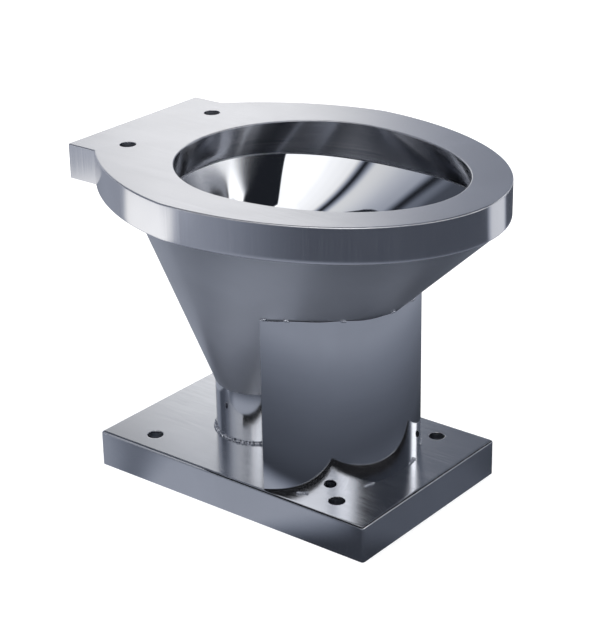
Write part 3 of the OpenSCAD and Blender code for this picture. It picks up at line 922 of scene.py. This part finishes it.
def room_material(name, base, parts, by_distance):
    """A glowing card whose brightness depends on the place on it, a little bluer where it is dark."""
    material, tree = bare_material(name)
    place_node = add_node(tree, "ShaderNodeTexCoord")
    axes = add_node(tree, "ShaderNodeSeparateXYZ", inputs={"Vector": place_node.outputs["Object"]}).outputs
    azimuth = maths(tree, "DEGREES", maths(tree, "ARCTAN2", axes["Y"], axes["X"]))
    flat = add_node(tree, "ShaderNodeCombineXYZ", inputs={"X": axes["X"], "Y": axes["Y"]})
    reach = add_node(tree, "ShaderNodeVectorMath", {"operation": "LENGTH"}, {0: flat.outputs[0]})
    height = reach.outputs["Value"]
    if not by_distance:
        height = maths(tree, "DEGREES", maths(tree, "ARCTAN2", axes["Z"], height))
    level = painted(tree, azimuth, height, base, parts)
    tint = add_node(tree, "ShaderNodeMix", {"data_type": "RGBA"}, {
        "Factor": level, "A": ROOM_DARK_TINT, "B": ROOM_BRIGHT_TINT})
    glow = add_node(tree, "ShaderNodeEmission", inputs={"Color": tint.outputs["Result"], "Strength": level})
    add_node(tree, "ShaderNodeOutputMaterial", inputs={"Surface": glow.outputs[0]})
    material.cycles.emission_sampling = "NONE"
    return material


def flag_material():
    """Black from below and clear from above: it darkens what the floor box's top mirrors before the apron."""
    material, tree = bare_material("dark_flag")
    side = add_node(tree, "ShaderNodeNewGeometry")
    clear = add_node(tree, "ShaderNodeBsdfTransparent")
    black = add_node(tree, "ShaderNodeEmission", inputs={"Strength": FLAG_GLOW})
    mixed = add_node(tree, "ShaderNodeMixShader", inputs={
        0: side.outputs["Backfacing"], 1: clear.outputs[0], 2: black.outputs[0]})
    add_node(tree, "ShaderNodeOutputMaterial", inputs={"Surface": mixed.outputs[0]})
    material.cycles.emission_sampling = "NONE"
    return material


def plainly_seen(tree):
    """1 for camera, glossy and transmission rays and 0 for all others."""
    path = add_node(tree, "ShaderNodeLightPath").outputs
    seen = maths(tree, "MAXIMUM", path["Is Camera Ray"], path["Is Glossy Ray"])
    return maths(tree, "MAXIMUM", seen, path["Is Transmission Ray"])


def paper_material(colour):
    """A white floor that keeps the pan's shadow and glows a little where it is seen."""
    material, tree = bare_material("white_paper")
    colour = list(colour) + [1]
    glow = add_node(tree, "ShaderNodeEmission", inputs={
        "Color": colour, "Strength": maths(tree, "MULTIPLY", plainly_seen(tree), PAPER_GLOW)})
    dull = add_node(tree, "ShaderNodeBsdfDiffuse", inputs={"Color": colour})
    both = add_node(tree, "ShaderNodeAddShader", inputs={0: glow.outputs[0], 1: dull.outputs[0]})
    add_node(tree, "ShaderNodeOutputMaterial", inputs={"Surface": both.outputs[0]})
    return material


def set_world(scene):
    """A white world, a little weaker as a light than as a backdrop."""
    scene.world = bpy.data.worlds.new("studio")
    scene.world.use_nodes = True
    tree = scene.world.node_tree
    tree.nodes.clear()
    strength = add_node(tree, "ShaderNodeMapRange", inputs={
        "Value": plainly_seen(tree), "To Min": WORLD_LIGHT, "To Max": 1.0})
    shown = add_node(tree, "ShaderNodeBackground", inputs={
        "Color": (1, 1, 1, 1), "Strength": strength.outputs[0]})
    add_node(tree, "ShaderNodeOutputWorld", inputs={"Surface": shown.outputs[0]})


def stage_object(name, mesh, material, reflected_only=True):
    """A floor or card that isn't part of the pan. A card that is only reflected hides from all else."""
    data = bpy.data.meshes.new(name)
    mesh.to_mesh(data)
    mesh.free()
    data.materials.append(material)
    made = linked(name, data)
    if reflected_only:
        for use in ("camera", "diffuse", "transmission", "volume_scatter", "shadow"):
            setattr(made, "visible_" + use, False)


def add_room():
    """The room that only the steel sees: its walls, its floor, and a dark flag low before the floor box."""
    mesh = bmesh.new()
    bmesh.ops.create_circle(mesh, cap_ends=True, segments=96, radius=ROOM_FLOOR_RADIUS)
    bmesh.ops.translate(mesh, verts=mesh.verts, vec=(0, 0, ROOM_FLOOR_HEIGHT))
    floor = room_material("room_floor", ROOM_FLOOR_BASE, ROOM_FLOOR, True)
    stage_object("room_floor_card", mesh, floor)
    mesh = bmesh.new()
    bmesh.ops.create_uvsphere(mesh, u_segments=96, v_segments=48, radius=ROOM_RADIUS)
    walls = room_material("room_walls", ROOM_WALLS_BASE, ROOM_WALLS, False)
    stage_object("room_walls_card", mesh, walls)
    mesh = bmesh.new()
    loft(mesh, [[(x, y, FLAG_HEIGHT) for x, y in edge] for edge in (FLAG_OUTER, FLAG_INNER)], closed=False)
    stage_object("dark_flag_card", mesh, flag_material())


def soft_lamp(name, place_at, size, power):
    """A round lamp that faces the pan and doesn't show in the steel."""
    lamp = bpy.data.lights.new(name, "AREA")
    lamp.shape = "DISK"
    lamp.size = size
    lamp.energy = power
    holder = linked(name, lamp)
    ahead = -Vector(place_at).normalized()
    holder.matrix_world = Matrix.Translation(place_at) @ ahead.to_track_quat("-Z", "Y").to_matrix().to_4x4()
    holder.visible_glossy = False


def set_camera(scene):
    """The photograph's camera."""
    camera = bpy.data.cameras.new("camera")
    camera.sensor_width = CAMERA_SENSOR_MM
    camera.lens = CAMERA_LENS_MM
    camera.clip_start, camera.clip_end = 0.05, 50
    scene.camera = linked("camera", camera)
    right, up = Vector(CAMERA_RIGHT).normalized(), Vector(CAMERA_UP)
    up = (up - up.dot(right) * right).normalized()
    turn = Matrix((right, up, right.cross(up))).transposed().to_4x4()
    scene.camera.matrix_world = Matrix.Translation(Vector(CAMERA_PLACE)) @ turn


class PAN_OT_stage(bpy.types.Operator):
    """Camera, lights, floor and the reflected studio"""
    bl_idname = "pan.stage"
    bl_label = "Stage"

    def execute(self, context):
        scene = context.scene
        set_camera(scene)
        scene.view_settings.view_transform = "Standard"
        set_world(scene)
        mesh = bmesh.new()
        bmesh.ops.create_grid(mesh, x_segments=1, y_segments=1, size=FLOOR_HALF_SIZE)
        stage_object("floor", mesh, paper_material(scene.pan_colours.backdrop), reflected_only=False)
        add_room()
        for lamp in LAMPS:
            soft_lamp(*lamp)
        return {"FINISHED"}


class PAN_PT_panel(bpy.types.Panel):
    """Lists the pieces of the pan and their sizes"""
    bl_idname = "PAN_PT_panel"
    bl_label = "Steel pan"
    bl_space_type = "VIEW_3D"
    bl_region_type = "UI"
    bl_category = "Steel pan"

    def draw(self, context):
        layout = self.layout
        for operator in OPERATORS:
            layout.operator(operator.bl_idname)
        for group in (context.scene.pan_sizes, context.scene.pan_colours):
            box = layout.box()
            for key in group.bl_rna.properties.keys():
                if key not in ("rna_type", "name"):
                    box.prop(group, key)


OPERATORS = (PAN_OT_seat_plate, PAN_OT_rim_walls, PAN_OT_bowl, PAN_OT_pipe, PAN_OT_apron, PAN_OT_floor_box,
             PAN_OT_welds, PAN_OT_hidden_parts, PAN_OT_stage)
CLASSES = (PanSizes, PanColours) + OPERATORS + (PAN_PT_panel,)


def register():
    for item in CLASSES:
        bpy.utils.register_class(item)
    bpy.types.Scene.pan_sizes = bpy.props.PointerProperty(type=PanSizes)
    bpy.types.Scene.pan_colours = bpy.props.PointerProperty(type=PanColours)


def unregister():
    del bpy.types.Scene.pan_colours
    del bpy.types.Scene.pan_sizes
    for item in reversed(CLASSES):
        bpy.utils.unregister_class(item)


def main():
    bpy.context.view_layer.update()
    register()
    bpy.ops.pan.stage()
    bpy.ops.pan.seat_plate()
    bpy.ops.pan.rim_walls()
    bpy.ops.pan.bowl()
    bpy.ops.pan.pipe()
    bpy.ops.pan.apron()
    bpy.ops.pan.floor_box()
    bpy.ops.pan.welds()
    bpy.ops.pan.hidden_parts()


if __name__ == "__main__":
    main()
